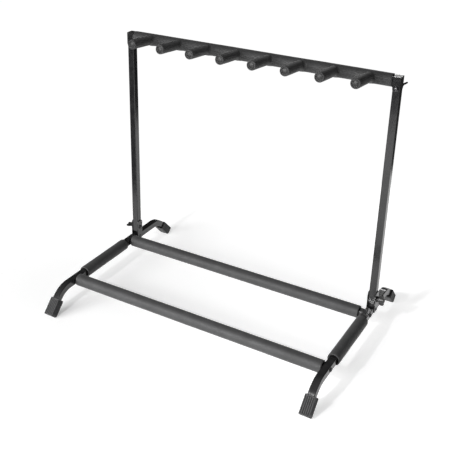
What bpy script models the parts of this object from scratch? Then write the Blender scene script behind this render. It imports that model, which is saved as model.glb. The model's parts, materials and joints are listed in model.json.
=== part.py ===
"""Folding guitar rack: two bent legs, two cross bars and a padded upper frame with eight pegs.

The rack stands on z = 0 with its width along X and the players' side towards -Y.  All lengths
are in metres.  The upper frame turns about the two pivot bolts in the leg brackets.
"""
import math

import bmesh
import bpy
from mathutils import Euler, Matrix

# ---------------------------------------------------------------- driving dimensions
TUBE = 0.020                 # side of every square tube
WALL = 0.0015                # its wall
TUBE_CORNER = 0.002          # its outer corner radius
GAP = 0.0003                 # clearance between neighbouring pieces

SIDE_X = 0.405               # legs and uprights stand this far from the middle
BASE_Z = 0.068               # centre line of the legs and cross bars
UPRIGHT_Y = 0.1365           # plane of the uprights
FRONT_BAR_Y = UPRIGHT_Y - 0.323
REAR_BAR_Y = UPRIGHT_Y - 0.039

LEG_BEND_RADIUS = 0.070
FOOT_TILT = math.radians(46.0)
FOOT_Y = 0.3025              # the sharp corner of each foot cap, before it is cut flat
FOOT_CUT = 0.0035            # height of the flat above that corner
FOOT_WIDTH = 0.0295
FOOT_THICK = 0.0275
FOOT_LENGTH = 0.053
FOOT_FLOOR = 0.006           # rubber under the end of the tube

PIVOT_Z = 0.101
UPRIGHT_BOTTOM_Z = 0.087
UPRIGHT_TOP_Z = 0.750
TOP_BAR_Z = 0.739
CORNER_BOLT_Z = 0.720

PEG_COUNT = 8
PEG_PITCH = 0.0950
PEG_TILT = math.radians(5.0)  # the pegs' free ends stand a little higher than the bar
PEG_ROD_RADIUS = 0.0065
PEG_ROD_BORE = 0.0046
PEG_REACH = 0.1043           # bar centre to the end of the rod
PEG_FOAM_RADIUS = 0.0140
PEG_FOAM_REACH = 0.1088
PLUG_RADIUS = 0.0095

TOP_FOAM_RADIUS = 0.0172
TOP_FOAM_END_X = 0.3910
BAR_FOAM_RADIUS = 0.0180
BAR_FOAM_END_X = 0.3910
REAR_FOAM_RIGHT_X = 0.3830   # the rear sleeve stops short on the right
LEG_FOAM_RADIUS = 0.0175
LEG_FOAM_FRONT_Y = UPRIGHT_Y - 0.281
LEG_FOAM_REAR_Y = UPRIGHT_Y - 0.076
FOAM_BORE = 0.0137

PLATE = 0.0020               # bracket sheet
BRACKET_TOP_Z = 0.124
BRACKET_BOTTOM_Z = 0.060
WEB_BOTTOM_Z = 0.1125
CORNER_TOP_Z = 0.752
CORNER_WEB = 0.0030

SHANK = 0.0030               # M6 screws
HOLE = 0.0033
BAR_END_BLOCK = 0.015        # solid, tapped end of each cross bar

KNOB_LENGTH = 0.0215
KNOB_SPAN = 0.0200
ROUND = 24                   # sides of the larger round pieces
SMALL = 12                   # sides of screws and caps


# ---------------------------------------------------------------- scene helpers
def clear_scene():
    for obj in list(bpy.data.objects):
        bpy.data.objects.remove(obj, do_unlink=True)


def new_collection(name):
    collection = bpy.data.collections.new(name)
    bpy.context.scene.collection.children.link(collection)
    return collection


def new_material(name, colour, roughness, metallic):
    material = bpy.data.materials.new(name)
    material.use_nodes = True
    shader = material.node_tree.nodes["Principled BSDF"]
    shader.inputs["Base Color"].default_value = (*colour, 1.0)
    shader.inputs["Roughness"].default_value = roughness
    shader.inputs["Metallic"].default_value = metallic
    material.diffuse_color = (*colour, 1.0)
    return material


def new_empty(name, location):
    empty = bpy.data.objects.new(name, None)
    empty.empty_display_size = 0.03
    empty.location = location
    RACK.objects.link(empty)
    return empty


def piece(name, mesh, material, location=(0.0, 0.0, 0.0), rotation=(0.0, 0.0, 0.0), parent=None):
    """Put a mesh in the rack at a world location; a parent empty never turns, so it only offsets."""
    obj = bpy.data.objects.new(name, mesh)
    if not mesh.materials:
        mesh.materials.append(material)
    if parent is not None:
        obj.parent = parent
        location = [location[i] - parent.location[i] for i in range(3)]
    obj.location = location
    obj.rotation_euler = rotation
    RACK.objects.link(obj)
    return obj


def tool(name, mesh, location, rotation):
    """A cutter or a shape to be joined, out of the rack's own collection."""
    obj = bpy.data.objects.new(name, mesh)
    obj.location = location
    obj.rotation_euler = rotation
    obj.hide_render = True
    obj.display_type = "WIRE"
    TOOLS.objects.link(obj)
    return obj


def boolean(obj, other, operation):
    modifier = obj.modifiers.new(other.name, "BOOLEAN")
    modifier.operation = operation
    modifier.solver = "EXACT"
    modifier.object = other


def bevel(obj, width, segments):
    modifier = obj.modifiers.new("edges", "BEVEL")
    modifier.width = width
    modifier.segments = segments
    modifier.limit_method = "ANGLE"
    modifier.angle_limit = math.radians(50.0)
    modifier.use_clamp_overlap = True


def evaluated_mesh(obj, name):
    """The finished mesh of an object, with its modifiers, welded and ready to be shared."""
    bpy.context.view_layer.update()
    graph = bpy.context.evaluated_depsgraph_get()
    mesh = bpy.data.meshes.new_from_object(obj.evaluated_get(graph), depsgraph=graph)
    mesh.name = name
    bm = bmesh.new()
    bm.from_mesh(mesh)
    bmesh.ops.remove_doubles(bm, verts=bm.verts, dist=0.000001)
    bmesh.ops.recalc_face_normals(bm, faces=bm.faces)
    bm.to_mesh(mesh)
    bm.free()
    return mesh


def worked(name, mesh, joins=(), cuts=(), edge=0.0, segments=2):
    """A mesh after its edge rounding, its unions and then its cuts, each given as (mesh, place, turn)."""
    obj = tool(name, mesh, (0.0, 0.0, 0.0), (0.0, 0.0, 0.0))
    if edge > 0.0:
        bevel(obj, edge, segments)
    used = []
    for operation, shapes in (("UNION", joins), ("DIFFERENCE", cuts)):
        for shape, place, turn in shapes:
            other = tool(shape.name, shape, place, turn)
            boolean(obj, other, operation)
            used.append(other)
    result = evaluated_mesh(obj, name)
    for other in used + [obj]:
        bpy.data.objects.remove(other, do_unlink=True)
    return result


def smooth(mesh, angle=35.0):
    mesh.shade_smooth()
    mesh.set_sharp_from_angle(angle=math.radians(angle))
    return mesh


# ---------------------------------------------------------------- shape helpers
def rounded_rectangle(width, height, radius, steps=2):
    """Points of a rectangle with round corners, counter-clockwise, centred on the origin."""
    points = []
    for corner in range(4):
        sx = 1.0 if corner in (0, 3) else -1.0
        sy = 1.0 if corner in (0, 1) else -1.0
        for i in range(steps + 1):
            angle = math.radians(90.0 * corner) + math.radians(90.0) * i / steps
            x = sx * (width / 2.0 - radius) + radius * math.cos(angle)
            y = sy * (height / 2.0 - radius) + radius * math.sin(angle)
            points.append((x, y))
    return points


def circle_points(radius, count, centre=(0.0, 0.0), start=0.0, sweep=360.0):
    """Points along an arc; a full circle leaves out the repeated last point."""
    last = count if sweep == 360.0 else count - 1
    points = []
    for i in range(count):
        angle = math.radians(start + sweep * i / last)
        points.append((centre[0] + radius * math.cos(angle), centre[1] + radius * math.sin(angle)))
    return points


def prism(name, loops, depth):
    """A flat outline (the first loop, with any others as holes) extruded along Z, as one mesh."""
    curve = bpy.data.curves.new(name, "CURVE")
    curve.dimensions = "2D"
    curve.fill_mode = "BOTH"
    curve.extrude = depth / 2.0
    for loop in loops:
        spline = curve.splines.new("POLY")
        spline.points.add(len(loop) - 1)
        for point, (x, y) in zip(spline.points, loop):
            point.co = (x, y, 0.0, 1.0)
        spline.use_cyclic_u = True
    obj = bpy.data.objects.new(name, curve)
    TOOLS.objects.link(obj)
    mesh = evaluated_mesh(obj, name)
    bpy.data.objects.remove(obj, do_unlink=True)
    if len(loops) == 1:
        merge_flat_faces(mesh)
    return mesh


def merge_flat_faces(mesh):
    """Make each flat side one face, so that an edge rounding has room."""
    bm = bmesh.new()
    bm.from_mesh(mesh)
    bmesh.ops.dissolve_limit(bm, angle_limit=math.radians(0.5), verts=bm.verts, edges=bm.edges)
    bm.to_mesh(mesh)
    bm.free()


def turned_to(mesh, rotation):
    """Turn a mesh in its own frame."""
    mesh.transform(Euler(rotation, "XYZ").to_matrix().to_4x4())
    return mesh


def box_mesh(name, size, centre=(0.0, 0.0, 0.0)):
    mesh = bpy.data.meshes.new(name)
    bm = bmesh.new()
    made = bmesh.ops.create_cube(bm, size=1.0)
    bmesh.ops.scale(bm, vec=size, verts=made["verts"])
    bmesh.ops.translate(bm, vec=centre, verts=made["verts"])
    bm.to_mesh(mesh)
    bm.free()
    return mesh


def cylinder_mesh(name, radius, length, sides=ROUND):
    """A closed cylinder along Z, centred on the origin."""
    mesh = bpy.data.meshes.new(name)
    bm = bmesh.new()
    bmesh.ops.create_cone(bm, cap_ends=True, segments=sides, radius1=radius, radius2=radius, depth=length)
    bm.to_mesh(mesh)
    bm.free()
    return smooth(mesh)


def turned_mesh(name, profile, sides=SMALL):
    """A profile of (radius, z) points, from the top of the axis down the outside, turned about Z."""
    mesh = bpy.data.meshes.new(name + "_profile")
    bm = bmesh.new()
    verts = [bm.verts.new((radius, 0.0, z)) for radius, z in profile]
    for first, second in zip(verts, verts[1:]):
        bm.edges.new((first, second))
    bm.to_mesh(mesh)
    bm.free()
    obj = bpy.data.objects.new(name, mesh)
    TOOLS.objects.link(obj)
    screw = obj.modifiers.new("turn", "SCREW")
    screw.axis = "Z"
    screw.steps = sides
    screw.render_steps = sides
    screw.use_merge_vertices = True
    screw.merge_threshold = 0.00001
    result = evaluated_mesh(obj, name)
    bpy.data.objects.remove(obj, do_unlink=True)
    return smooth(result)


def dome(radius, height, base_z, steps=3):
    """Profile points over a low dome, from its crown to its rim."""
    points = []
    for i in range(steps + 1):
        angle = math.radians(90.0) * i / steps
        points.append((radius * math.sin(angle), base_z + height * math.cos(angle)))
    return points


# Rotations that turn a piece's own Z axis to face a world direction.
TO_X = (0.0, math.radians(90.0), 0.0)
TO_MINUS_X = (0.0, math.radians(-90.0), 0.0)
TO_Y = (math.radians(-90.0), 0.0, 0.0)
TO_MINUS_Y = (math.radians(90.0), 0.0, 0.0)
NO_TURN = (0.0, 0.0, 0.0)
OUT_OF_PEG = (math.radians(90.0) - PEG_TILT, 0.0, 0.0)
HALF_TURN = (0.0, 0.0, math.radians(180.0))
# Rotations for outlines drawn in (y, z), seen from the side, and in (x, z), seen from the front.
SIDE_VIEW = (math.radians(90.0), 0.0, math.radians(90.0))
FRONT_VIEW = (math.radians(90.0), 0.0, 0.0)


# ---------------------------------------------------------------- legs and feet
def foot_end_centre():
    """Middle of the rear foot cap's end face, as (y, z)."""
    y = FOOT_Y + FOOT_THICK / 2.0 * math.sin(FOOT_TILT)
    z = -FOOT_CUT + FOOT_THICK / 2.0 * math.cos(FOOT_TILT)
    return y, z


def leg_half_line(extra):
    """Centre line of the leg's rear half as (y, z, slope angle), from the bend to the tube's end."""
    end_y, end_z = foot_end_centre()
    corner_y = end_y - (BASE_Z - end_z) / math.tan(FOOT_TILT)
    bend_y = corner_y - LEG_BEND_RADIUS * math.tan(FOOT_TILT / 2.0)
    points = []
    steps = 6
    for i in range(steps + 1):
        angle = FOOT_TILT * i / steps
        y = bend_y + LEG_BEND_RADIUS * math.sin(angle)
        z = BASE_Z - LEG_BEND_RADIUS * (1.0 - math.cos(angle))
        points.append((y, z, angle))
    back = FOOT_FLOOR + GAP - extra
    points.append((end_y - back * math.cos(FOOT_TILT), end_z + back * math.sin(FOOT_TILT), FOOT_TILT))
    return points


def leg_outline(half, extra=0.0):
    """Side outline of the whole leg, half a tube away from its centre line, in (y, z)."""
    line = leg_half_line(extra)
    upper = [(y + half * math.sin(a), z + half * math.cos(a)) for y, z, a in line]
    lower = [(y - half * math.sin(a), z - half * math.cos(a)) for y, z, a in line]
    loop = list(reversed(upper))
    loop += [(-y, z) for y, z in upper]
    loop += [(-y, z) for y, z in reversed(lower)]
    loop += lower
    return loop


def leg_mesh():
    """Bent square tube, in the leg's own plane, with its two bar holes and its rivet hole."""
    outer = turned_to(prism("leg", [leg_outline(TUBE / 2.0)], TUBE), SIDE_VIEW)
    inner = turned_to(prism("leg_bore", [leg_outline(TUBE / 2.0 - WALL, 0.012)], TUBE - 2.0 * WALL), SIDE_VIEW)
    hole = cylinder_mesh("leg_hole", HOLE, 0.03, SMALL)
    cuts = [(inner, (0.0, 0.0, 0.0), NO_TURN)]
    for y in (FRONT_BAR_Y, REAR_BAR_Y, UPRIGHT_Y):
        cuts.append((hole, (0.0, y, BASE_Z), TO_X))
    return worked("leg", outer, cuts=cuts, edge=TUBE_CORNER)


def foot_mesh():
    """Rear foot cap: a ribbed rubber sleeve, closed at its end and cut flat where it stands."""
    up = (-math.cos(FOOT_TILT), math.sin(FOOT_TILT))
    out = (math.sin(FOOT_TILT), math.cos(FOOT_TILT))

    def at(along, across):
        return (FOOT_Y + along * up[0] + across * out[0], -FOOT_CUT + along * up[1] + across * out[1])

    outline = [
        at(0.0, FOOT_CUT / math.cos(FOOT_TILT)),
        at(0.0, FOOT_THICK),
        at(FOOT_LENGTH, FOOT_THICK),
        at(FOOT_LENGTH, 0.0),
        at(FOOT_CUT / math.sin(FOOT_TILT), 0.0),
    ]
    body = turned_to(prism("foot", [outline], FOOT_WIDTH), SIDE_VIEW)
    lean = (math.radians(90.0) - FOOT_TILT, 0.0, 0.0)
    side = TUBE + 2.0 * GAP
    bore = box_mesh("foot_bore", (side, side, FOOT_LENGTH), (0.0, 0.0, FOOT_LENGTH / 2.0 + FOOT_FLOOR))
    end_y, end_z = foot_end_centre()
    ribs = groove_mesh()
    cuts = [(bore, (0.0, end_y, end_z), lean), (ribs, (0.0, end_y, end_z), lean)]
    return worked("foot", body, cuts=cuts, edge=0.0012, segments=1)


def groove_mesh():
    """Long grooves that leave the cap's ribs; Z runs up the cap from the middle of its end face."""
    mesh = bpy.data.meshes.new("foot_grooves")
    bm = bmesh.new()
    depth = 0.0009
    width = 0.0015
    length = FOOT_LENGTH - 0.006
    middle = 0.003 + length / 2.0
    for i in range(6):
        x = (i - 2.5) * 0.0043
        made = bmesh.ops.create_cube(bm, size=1.0)
        bmesh.ops.scale(bm, vec=(width, depth * 2.0, length), verts=made["verts"])
        bmesh.ops.translate(bm, vec=(x, FOOT_THICK / 2.0, middle), verts=made["verts"])
    for side in (-1.0, 1.0):
        for i in range(5):
            y = (i - 2) * 0.0045
            made = bmesh.ops.create_cube(bm, size=1.0)
            bmesh.ops.scale(bm, vec=(depth * 2.0, width, length - 0.012), verts=made["verts"])
            place = (side * FOOT_WIDTH / 2.0, y, middle + 0.006)
            bmesh.ops.translate(bm, vec=place, verts=made["verts"])
    bm.to_mesh(mesh)
    bm.free()
    return mesh


# ---------------------------------------------------------------- bars and foam
def cross_bar_mesh():
    """Square tube along X with a solid, tapped block in each end."""
    length = 2.0 * (SIDE_X - TUBE / 2.0 - GAP)
    inner = TUBE - 2.0 * WALL
    outline = rounded_rectangle(TUBE, TUBE, TUBE_CORNER)
    body = turned_to(prism("cross_bar", [outline], length), TO_X)
    hollow = box_mesh("bar_hollow", (length - 2.0 * BAR_END_BLOCK, inner, inner))
    hole = cylinder_mesh("bar_tapping", HOLE, length + 0.01, SMALL)
    cuts = [(hollow, (0.0, 0.0, 0.0), NO_TURN), (hole, (0.0, 0.0, 0.0), TO_X)]
    return worked("cross_bar", body, cuts=cuts)


def sleeve_mesh(name, radius, length):
    """Foam tube along Z, round inside and out."""
    outer = cylinder_mesh(name, radius, length)
    bore = cylinder_mesh(name + "_bore", FOAM_BORE, length + 0.02)
    return worked(name, outer, cuts=[(bore, (0.0, 0.0, 0.0), NO_TURN)])


def peg_positions():
    return [(i - (PEG_COUNT - 1) / 2.0) * PEG_PITCH for i in range(PEG_COUNT)]


def along_peg(distance):
    """Offset in (y, z) of a point on a peg's axis from the bar's centre line."""
    return -distance * math.cos(PEG_TILT), distance * math.sin(PEG_TILT)


def row_of_cylinders(name, radius, near, far, sides):
    """One mesh of eight cylinders on the pegs' axes, between two distances from the bar's centre."""
    mesh = bpy.data.meshes.new(name)
    bm = bmesh.new()
    turn = Euler(OUT_OF_PEG, "XYZ").to_matrix()
    y, z = along_peg((near + far) / 2.0)
    for x in peg_positions():
        made = bmesh.ops.create_cone(
            bm, cap_ends=True, segments=sides, radius1=radius, radius2=radius, depth=far - near
        )
        bmesh.ops.rotate(bm, cent=(0.0, 0.0, 0.0), matrix=turn, verts=made["verts"])
        bmesh.ops.translate(bm, vec=(x, y, z), verts=made["verts"])
    bm.to_mesh(mesh)
    bm.free()
    return mesh


def top_bar_mesh():
    """Top tube with its eight welded peg rods, each bored from its free end."""
    length = 2.0 * top_bar_end()
    inner = TUBE - 2.0 * WALL
    outer = rounded_rectangle(TUBE, TUBE, TUBE_CORNER)
    bore = rounded_rectangle(inner, inner, 0.0006, 1)
    body = turned_to(prism("top_bar", [outer, bore], length), TO_X)
    rods = row_of_cylinders("peg_rods", PEG_ROD_RADIUS, TUBE / 2.0 - 0.00075, PEG_REACH, SMALL)
    bores = row_of_cylinders("peg_bores", PEG_ROD_BORE, PEG_REACH - 0.03, PEG_REACH + 0.01, SMALL)
    origin = (0.0, 0.0, 0.0)
    return worked("top_bar", body, joins=[(rods, origin, NO_TURN)], cuts=[(bores, origin, NO_TURN)])


def top_bar_end():
    return SIDE_X - TUBE / 2.0 - 2.0 * GAP - CORNER_WEB


def top_foam_mesh():
    """Foam over the top bar, with a hole for each peg rod."""
    body = turned_to(sleeve_mesh("top_foam", TOP_FOAM_RADIUS, 2.0 * TOP_FOAM_END_X), TO_X)
    holes = row_of_cylinders("rod_holes", PEG_ROD_RADIUS + GAP, 0.0, 0.03, SMALL)
    return smooth(worked("top_foam", body, cuts=[(holes, (0.0, 0.0, 0.0), NO_TURN)]))


def peg_foam_mesh():
    """Foam over one peg, saddled against the top bar's foam; its origin is on the bar's centre line."""
    length = PEG_FOAM_REACH - 0.008
    body = turned_to(cylinder_mesh("peg_foam", PEG_FOAM_RADIUS, length), OUT_OF_PEG)
    body.transform(Matrix.Translation((0.0, *along_peg((PEG_FOAM_REACH + 0.008) / 2.0))))
    saddle = cylinder_mesh("saddle", TOP_FOAM_RADIUS + GAP, 0.06, 36)
    bore = cylinder_mesh("peg_foam_bore", PEG_ROD_RADIUS + GAP, 0.26, SMALL)
    room = cylinder_mesh("peg_plug_room", PLUG_RADIUS + GAP, 0.02)
    cuts = [
        (saddle, (0.0, 0.0, 0.0), TO_X),
        (bore, (0.0, 0.0, 0.0), OUT_OF_PEG),
        (room, (0.0, *along_peg(PEG_REACH + 0.0097)), OUT_OF_PEG),
    ]
    return smooth(worked("peg_foam", body, cuts=cuts))


def peg_plug_mesh():
    """Round plug: a domed head and a stem that goes into the rod, Z pointing out of the peg."""
    head = PLUG_RADIUS
    stem = PEG_ROD_BORE - GAP
    profile = dome(head, 0.0014, 0.0020)
    profile += [(head, 0.0), (stem, 0.0), (stem, -0.008), (0.0, -0.008)]
    return turned_mesh("peg_plug", profile, 16)


# ---------------------------------------------------------------- uprights and brackets
def upright_mesh():
    """Square tube along Z, open below, with the pivot and corner holes; z is the world's."""
    inner = TUBE - 2.0 * WALL
    outer = rounded_rectangle(TUBE, TUBE, TUBE_CORNER)
    bore = rounded_rectangle(inner, inner, 0.0006, 1)
    body = prism("upright", [outer, bore], UPRIGHT_TOP_Z - UPRIGHT_BOTTOM_Z)
    body.transform(Matrix.Translation((0.0, 0.0, (UPRIGHT_TOP_Z + UPRIGHT_BOTTOM_Z) / 2.0)))
    hole = cylinder_mesh("upright_hole", HOLE, 0.03, SMALL)
    cuts = [
        (hole, (0.0, 0.0, PIVOT_Z), TO_X),
        (hole, (0.0, 0.0, CORNER_BOLT_Z), TO_Y),
    ]
    return worked("upright", body, cuts=cuts)


def upright_plug_mesh():
    """Plastic plug: a square head on the tube's end and a stem inside it; z = 0 under the head."""
    head = prism("plug_head", [rounded_rectangle(TUBE, TUBE, TUBE_CORNER)], 0.0020)
    head.transform(Matrix.Translation((0.0, 0.0, 0.0010)))
    side = TUBE - 2.0 * WALL - 2.0 * GAP
    stem = box_mesh("plug_stem", (side, side, 0.0100), (0.0, 0.0, -0.0045))
    return worked("upright_plug", head, joins=[(stem, (0.0, 0.0, 0.0), NO_TURN)])


def pivot_bracket_mesh():
    """U-shaped bracket: a plate on each side of the leg and upright, and a web behind the upright."""
    half = TUBE / 2.0 + GAP
    reach = half + PLATE
    corner = 0.0060
    foot = 0.0025
    outline = [(-reach + foot, BRACKET_BOTTOM_Z), (reach - foot, BRACKET_BOTTOM_Z)]
    outline += [(reach, BRACKET_BOTTOM_Z + foot)]
    outline += circle_points(corner, 5, (reach - corner, BRACKET_TOP_Z - corner), 0.0, 90.0)
    outline += circle_points(corner, 5, (-reach + corner, BRACKET_TOP_Z - corner), 90.0, 90.0)
    outline += [(-reach, BRACKET_BOTTOM_Z + foot)]
    body = turned_to(prism("pivot_bracket", [outline], 2.0 * reach), SIDE_VIEW)
    room = [(-0.03, 0.04), (0.03, 0.04), (0.03, WEB_BOTTOM_Z), (half, WEB_BOTTOM_Z), (half, 0.15), (-0.03, 0.15)]
    inside = turned_to(prism("bracket_room", [room], 2.0 * half), SIDE_VIEW)
    hole = cylinder_mesh("bracket_hole", HOLE, 0.04, SMALL)
    cuts = [
        (inside, (0.0, 0.0, 0.0), NO_TURN),
        (hole, (0.0, 0.0, PIVOT_Z), TO_X),
        (hole, (0.0, 0.0, BASE_Z), TO_X),
    ]
    return worked("pivot_bracket", body, cuts=cuts)


def corner_bracket_mesh(side):
    """Bracket at one end of the top bar; x is measured from the upright and z is the world's."""
    half = TUBE / 2.0 + GAP
    web_out = -half
    web_in = -half - CORNER_WEB
    lobe = TUBE / 2.0
    outline = [(web_in, CORNER_TOP_Z), (web_in, 0.7270), (-lobe, 0.7235)]
    outline += circle_points(lobe, 9, (0.0, CORNER_BOLT_Z), 180.0, 180.0)
    outline += [(lobe, CORNER_TOP_Z)]
    room = [(web_out, 0.80), (web_out, 0.7270), (-0.04, 0.7270), (-0.04, 0.68), (0.04, 0.68), (0.04, 0.80)]
    if side < 0:
        outline = [(-x, z) for x, z in reversed(outline)]
        room = [(-x, z) for x, z in reversed(room)]
    body = turned_to(prism("corner_bracket", [outline], 2.0 * (half + PLATE)), FRONT_VIEW)
    inside = turned_to(prism("corner_room", [room], 2.0 * half), FRONT_VIEW)
    hole = cylinder_mesh("corner_hole", HOLE, 0.04, SMALL)
    cuts = [
        (inside, (0.0, 0.0, 0.0), NO_TURN),
        (hole, (0.0, 0.0, CORNER_BOLT_Z), TO_Y),
    ]
    return worked("corner_bracket", body, cuts=cuts)


# ---------------------------------------------------------------- fasteners and knobs
def screw_mesh(name, length, head_radius, head_height):
    """Dome-headed screw: the shank runs up Z from under its head, the head is below z = 0."""
    profile = [(0.0, length), (SHANK - 0.0005, length), (SHANK, length - 0.0007)]
    profile += [(SHANK, 0.0), (head_radius, 0.0)]
    profile += [(radius, -z) for radius, z in reversed(dome(head_radius, head_height - 0.0006, 0.0006))]
    body = turned_mesh(name, profile)
    socket = cylinder_mesh("hex_socket", 0.0023, 0.0040, 6)
    return smooth(worked(name, body, cuts=[(socket, (0.0, 0.0, -head_height), NO_TURN)]))


def rivet_mesh():
    """Rivet with a low dome at each end, through both plates of a pivot bracket and its leg."""
    half = TUBE / 2.0 + PLATE + 2.0 * GAP
    upper = dome(0.0045, 0.0016, half)
    profile = upper + [(SHANK, half), (SHANK, -half)]
    profile += [(radius, -z) for radius, z in reversed(upper)]
    return turned_mesh("bracket_rivet", profile)


def knob_mesh(turn):
    """Wing knob: a flanged hub with two wings, turned by an angle, seated on z = 0, with a blind hole."""
    top = KNOB_LENGTH
    profile = [(0.0, top), (0.0042, top - 0.0003), (0.0058, top - 0.0018), (0.0064, 0.0060)]
    profile += [(0.0070, 0.0034), (0.0084, 0.0026), (0.0086, 0.0008), (0.0082, 0.0), (0.0, 0.0)]
    hub = turned_mesh("knob_hub", profile, 16)
    tip = 0.0076
    centre = KNOB_SPAN - tip
    height = 0.0122
    waist = 0.0052
    outline = circle_points(tip, 8, (centre, height), -125.0, 250.0)
    outline += [(0.0050, height + waist), (-0.0050, height + waist)]
    outline += circle_points(tip, 8, (-centre, height), 55.0, 250.0)
    outline += [(-0.0050, height - waist), (0.0050, height - waist)]
    wings = turned_to(prism("knob_wings", [outline], 0.0040), FRONT_VIEW)
    wings = worked("knob_wings", wings, edge=0.0010, segments=1)
    hole = cylinder_mesh("knob_hole", HOLE, 0.0240, SMALL)
    origin = (0.0, 0.0, 0.0)
    body = worked("knob", hub, joins=[(wings, origin, NO_TURN)], cuts=[(hole, origin, NO_TURN)])
    return smooth(turned_to(body, (0.0, 0.0, turn)))


# ---------------------------------------------------------------- assembly
def build_base(paint, foam, rubber, steel):
    legs = leg_mesh()
    foot = foot_mesh()
    bar = cross_bar_mesh()
    bracket = pivot_bracket_mesh()
    rivet = rivet_mesh()
    leg_foam_length = LEG_FOAM_REAR_Y - LEG_FOAM_FRONT_Y
    leg_foam = sleeve_mesh("leg_foam", LEG_FOAM_RADIUS, leg_foam_length)
    leg_foam_y = (LEG_FOAM_REAR_Y + LEG_FOAM_FRONT_Y) / 2.0
    head_x = TUBE / 2.0 + GAP
    bar_bolt = screw_mesh("bar_bolt", 0.0300, 0.0060, 0.0034)
    plate_x = TUBE / 2.0 + PLATE + 2.0 * GAP
    pivot_bolt = screw_mesh("pivot_bolt", 2.0 * plate_x + 0.0117, 0.0065, 0.0036)
    for name, side in (("left", -1.0), ("right", 1.0)):
        x = side * SIDE_X
        outward = TO_X if side > 0 else TO_MINUS_X
        inward = TO_MINUS_X if side > 0 else TO_X
        piece(name + "_leg", legs, paint, (x, 0.0, 0.0))
        piece(name + "_rear_foot", foot, rubber, (x, 0.0, 0.0))
        piece(name + "_front_foot", foot, rubber, (x, 0.0, 0.0), HALF_TURN)
        piece(name + "_leg_foam", leg_foam, foam, (x, leg_foam_y, BASE_Z), TO_Y)
        piece(name + "_pivot_bracket", bracket, paint, (x, UPRIGHT_Y, 0.0))
        piece(name + "_bracket_rivet", rivet, steel, (x, UPRIGHT_Y, BASE_Z), TO_X)
        piece(name + "_pivot_bolt", pivot_bolt, steel, (x - side * plate_x, UPRIGHT_Y, PIVOT_Z), outward)
        bolt_x = x + side * head_x
        piece(name + "_front_bar_bolt", bar_bolt, steel, (bolt_x, FRONT_BAR_Y, BASE_Z), inward)
        piece(name + "_rear_bar_bolt", bar_bolt, steel, (bolt_x, REAR_BAR_Y, BASE_Z), inward)
    piece("front_bar", bar, paint, (0.0, FRONT_BAR_Y, BASE_Z))
    piece("rear_bar", bar, paint, (0.0, REAR_BAR_Y, BASE_Z))
    front_foam = sleeve_mesh("front_bar_foam", BAR_FOAM_RADIUS, 2.0 * BAR_FOAM_END_X)
    piece("front_bar_foam", front_foam, foam, (0.0, FRONT_BAR_Y, BASE_Z), TO_X)
    rear_foam = sleeve_mesh("rear_bar_foam", BAR_FOAM_RADIUS, BAR_FOAM_END_X + REAR_FOAM_RIGHT_X)
    rear_x = (REAR_FOAM_RIGHT_X - BAR_FOAM_END_X) / 2.0
    piece("rear_bar_foam", rear_foam, foam, (rear_x, REAR_BAR_Y, BASE_Z), TO_X)


def build_upper_frame(paint, foam, plastic, steel):
    """Everything that folds; it hangs on an empty on the pivot axis."""
    fold = new_empty("frame_fold_axis", (0.0, UPRIGHT_Y, PIVOT_Z))
    upright = upright_mesh()
    plug = upright_plug_mesh()
    face_y = TUBE / 2.0 + PLATE + 2.0 * GAP
    corner_bolt = screw_mesh("corner_bolt", 2.0 * face_y + 0.0117, 0.0070, 0.0038)
    for name, side in (("left", -1.0), ("right", 1.0)):
        x = side * SIDE_X
        bracket = corner_bracket_mesh(side)
        piece(name + "_upright", upright, paint, (x, UPRIGHT_Y, 0.0), NO_TURN, fold)
        piece(name + "_upright_plug", plug, plastic, (x, UPRIGHT_Y, UPRIGHT_TOP_Z + GAP), NO_TURN, fold)
        piece(name + "_corner_bracket", bracket, paint, (x, UPRIGHT_Y, 0.0), NO_TURN, fold)
        front = (x, UPRIGHT_Y - face_y, CORNER_BOLT_Z)
        piece(name + "_corner_bolt", corner_bolt, steel, front, TO_Y, fold)
    bar_centre = (0.0, UPRIGHT_Y, TOP_BAR_Z)
    piece("top_bar", top_bar_mesh(), paint, bar_centre, NO_TURN, fold)
    piece("top_bar_foam", top_foam_mesh(), foam, bar_centre, NO_TURN, fold)
    peg_foam = peg_foam_mesh()
    peg_plug = peg_plug_mesh()
    for number, x in enumerate(peg_positions(), start=1):
        piece(f"peg_foam_{number}", peg_foam, foam, (x, UPRIGHT_Y, TOP_BAR_Z), NO_TURN, fold)
        y, z = along_peg(PEG_REACH + GAP)
        seat = (x, UPRIGHT_Y + y, TOP_BAR_Z + z)
        piece(f"peg_plug_{number}", peg_plug, plastic, seat, OUT_OF_PEG, fold)
    return fold


def build_knobs(plastic):
    """Four wing knobs: one on the end of each pivot bolt, outside, and one behind each corner."""
    seat = TUBE / 2.0 + PLATE + 2.0 * GAP
    turns = {"left_base": 100.0, "right_base": 13.0, "left_corner": 25.0, "right_corner": -34.0}
    for name, side in (("left", -1.0), ("right", 1.0)):
        outward = TO_X if side > 0 else TO_MINUS_X
        base_knob = knob_mesh(math.radians(turns[name + "_base"]))
        x = side * (SIDE_X + seat)
        axis = new_empty(name + "_base_knob_axis", (x, UPRIGHT_Y, PIVOT_Z))
        piece(name + "_base_knob", base_knob, plastic, (x, UPRIGHT_Y, PIVOT_Z), outward, axis)
        corner_knob = knob_mesh(math.radians(turns[name + "_corner"]))
        back = (side * SIDE_X, UPRIGHT_Y + seat, CORNER_BOLT_Z)
        axis = new_empty(name + "_corner_knob_axis", back)
        piece(name + "_corner_knob", corner_knob, plastic, back, TO_Y, axis)


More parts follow.
